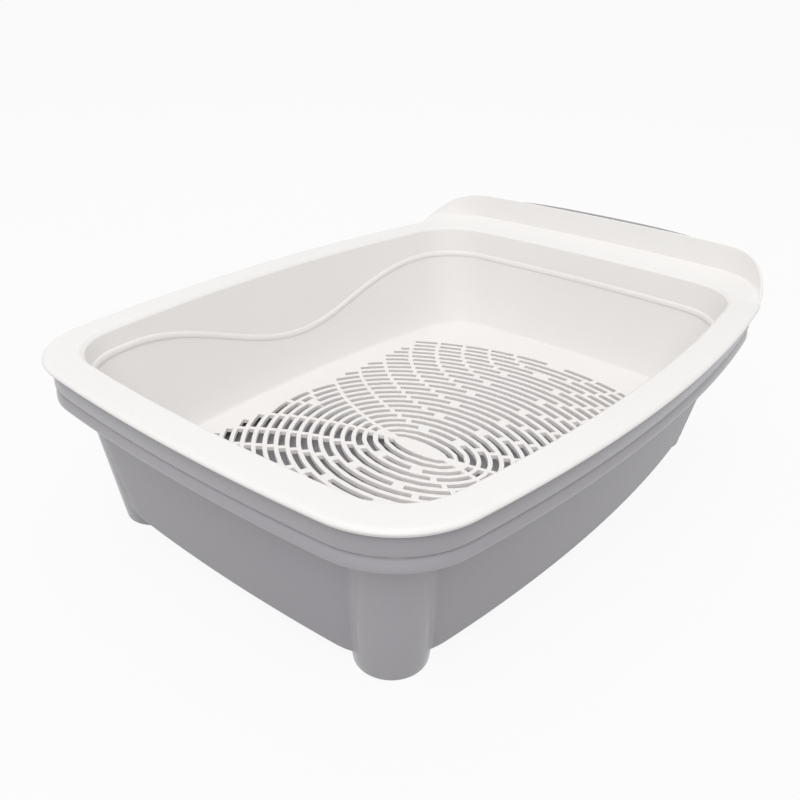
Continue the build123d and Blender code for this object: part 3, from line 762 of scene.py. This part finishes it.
floor_paint = bpy.data.materials.new("white floor")
floor_paint.use_nodes = True
floor_nodes, floor_links = floor_paint.node_tree.nodes, floor_paint.node_tree.links
floor_nodes.remove(floor_nodes["Principled BSDF"])
floor_matt = floor_nodes.new("ShaderNodeBsdfDiffuse")
floor_matt.inputs["Color"].default_value = (floor_shade, floor_shade, floor_shade, 1)
floor_white = floor_nodes.new("ShaderNodeEmission")
floor_white.inputs["Strength"].default_value = 1.0
floor_mix = floor_nodes.new("ShaderNodeMixShader")
floor_links.new(seen_share(floor_nodes, floor_links, floor_white_share), floor_mix.inputs["Fac"])
floor_links.new(floor_matt.outputs["BSDF"], floor_mix.inputs[1])
floor_links.new(floor_white.outputs["Emission"], floor_mix.inputs[2])
floor_links.new(floor_mix.outputs["Shader"], floor_nodes["Material Output"].inputs["Surface"])
floor_mesh.materials.append(floor_paint)

room = bpy.data.worlds.new("white room")
room.use_nodes = True
room_nodes, room_links = room.node_tree.nodes, room.node_tree.links
room_light = room_nodes["Background"]
room_light.inputs["Color"].default_value = (1, 1, 1, 1)
room_light.inputs["Strength"].default_value = room_level
room_white = room_nodes.new("ShaderNodeBackground")
room_white.inputs["Color"].default_value = (1, 1, 1, 1)
room_white.inputs["Strength"].default_value = 1.0
room_mix = room_nodes.new("ShaderNodeMixShader")
room_links.new(seen_share(room_nodes, room_links, 1.0), room_mix.inputs["Fac"])
room_links.new(room_light.outputs["Background"], room_mix.inputs[1])
room_links.new(room_white.outputs["Background"], room_mix.inputs[2])
room_links.new(room_mix.outputs["Shader"], room_nodes["World Output"].inputs["Surface"])
bpy.context.scene.world = room


def soft_lamp(name, place, aim, width, power):
    """Square area lamp at a place, turned so that it shines at the aim."""
    lamp = bpy.data.lights.new(name, "AREA")
    lamp.size = width
    lamp.energy = power
    holder = bpy.data.objects.new(name, lamp)
    ray = np.subtract(aim, place)
    side = np.cross(ray, (0, 0, 1))
    side = side / np.linalg.norm(side)
    back = -ray / np.linalg.norm(ray)
    turn = np.column_stack([side, np.cross(back, side), back])
    holder.matrix_world = Matrix.Translation(place) @ Matrix(turn.tolist()).to_4x4()
    bpy.context.scene.collection.objects.link(holder)


soft_lamp("overhead lamp", place=(-0.3, 0.3, 2.3), aim=(0, 0, 0.1), width=1.6, power=9.5)
soft_lamp("front lamp", place=(0.7, -1.2, 1.8), aim=(0, 0, 0.08), width=1.4, power=19.0)


# Camera: stands at the near right corner, a little above the rim, and looks down into the tray,
# tipped slightly to one side.
focal_pixels = 847.4
image_pixels = 800
azimuth, elevation, roll = np.radians([39.57, 27.01, 1.19])
camera_target = np.array([-7.8, rim_centre_y - 28.49, 70.0]) * mm
camera_distance = 642.8 * mm
back_way = np.array(
    [np.sin(azimuth) * np.cos(elevation), -np.cos(azimuth) * np.cos(elevation), np.sin(elevation)]
)
level_right = np.array([np.cos(azimuth), np.sin(azimuth), 0])
level_up = np.cross(back_way, level_right)
right_way = level_right * np.cos(roll) + level_up * np.sin(roll)
up_way = level_up * np.cos(roll) - level_right * np.sin(roll)
lens = bpy.data.cameras.new("photo camera")
lens.sensor_width = 36.0
lens.lens = lens.sensor_width * focal_pixels / image_pixels
lens.clip_start = 0.01
camera = bpy.data.objects.new("photo camera", lens)
turn_matrix = Matrix(np.column_stack([right_way, up_way, back_way]).tolist()).to_4x4()
camera.matrix_world = Matrix.Translation(camera_target + camera_distance * back_way) @ turn_matrix
bpy.context.scene.collection.objects.link(camera)
bpy.context.scene.camera = camera
bpy.context.scene.view_settings.view_transform = "Standard"
